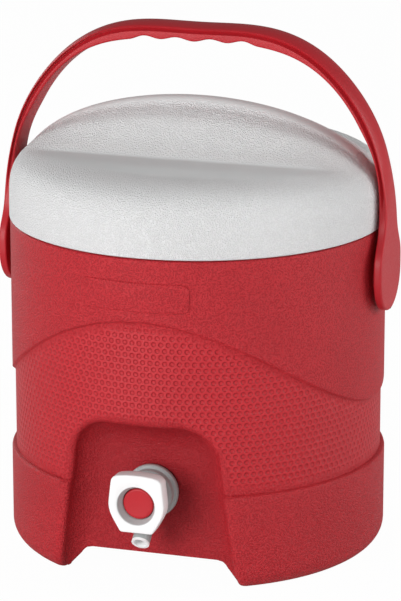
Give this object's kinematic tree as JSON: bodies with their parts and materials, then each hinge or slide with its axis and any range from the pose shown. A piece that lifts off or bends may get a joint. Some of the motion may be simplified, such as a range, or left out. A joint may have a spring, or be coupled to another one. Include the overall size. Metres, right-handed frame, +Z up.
{
  "type": "insulated drinks cooler with a push-button tap",
  "caption": "Round insulated drinks cooler: screw lid with a grip ridge, push-button tap in a front recess, swinging carry handle.",
  "frame": {"origin": "centre of the round footprint, on the plane of the foot", "axes": "+Z up along the round body's axis, -Y toward the tap at the front, +X along the line of the handle's two pivots"},
  "size_m": [0.244, 0.2358, 0.3224],
  "materials": {
    "housing_red": "fine-grained moulded polyethylene, satin",
    "button_red": "smooth moulded plastic",
    "lid_white": "grained moulded plastic with smooth ridge and scoops",
    "liner_white": "smooth moulded plastic",
    "tap_white": "smooth moulded plastic",
    "tap_grey": "smooth moulded plastic",
    "foam": "rigid foam",
    "rubber": "moulded rubber",
    "spring_steel": "bright wire"
  },
  "bodies": {
    "housing": {"outer_shell": "housing_red", "base_cover": "housing_red", "foam_port_plug": "housing_red", "tank_liner": "liner_white", "body_foam": "foam", "tap_body": "tap_grey", "tap_spout": "tap_grey", "tap_head": "tap_white", "tap_back_nut": "tap_white", "tap_outer_washer": "rubber", "tap_inner_washer": "rubber", "tap_stem_seal": "rubber", "pivot_bushing_left": "liner_white", "pivot_bushing_right": "liner_white"},
    "handle": {"carry_handle": "housing_red", "pivot_pin_left": "housing_red", "pivot_pin_right": "housing_red"},
    "push_button": {"tap_button": "button_red", "tap_stem": "tap_white", "tap_valve_seal": "rubber", "return_spring": "spring_steel"},
    "lid_seal": {"lid_gasket": "rubber"},
    "lid": {"lid_shell": "lid_white", "lid_foam": "foam", "lid_pan": "liner_white"}
  },
  "joints": [
    {"name": "handle_swing", "type": "hinge", "parent": "housing", "child": "handle", "pos_m": [0, 0, 0.175], "axis": [1, 0, 0], "range_deg": [-115, 115]},
    {"name": "button_press", "type": "slide", "parent": "housing", "child": "push_button", "axis": [0, 1, 0], "range_m": [0, 0.005], "stiffness_N_per_m": 400, "springref_m": -0.002, "deforming": ["return_spring"]},
    {"name": "lid_rise", "type": "slide", "parent": "housing", "child": "lid_seal", "axis": [0, 0, 1], "range_m": [0, 0.00562]},
    {"name": "lid_turn", "type": "hinge", "parent": "lid_seal", "child": "lid", "pos_m": [0, 0, 0.2043], "axis": [0, 0, 1], "range_deg": [0, 122]}
  ],
  "couplings": [
    {"joint": "lid_rise", "follows": "lid_turn", "m_per_rad": 0.0025465}
  ]
}
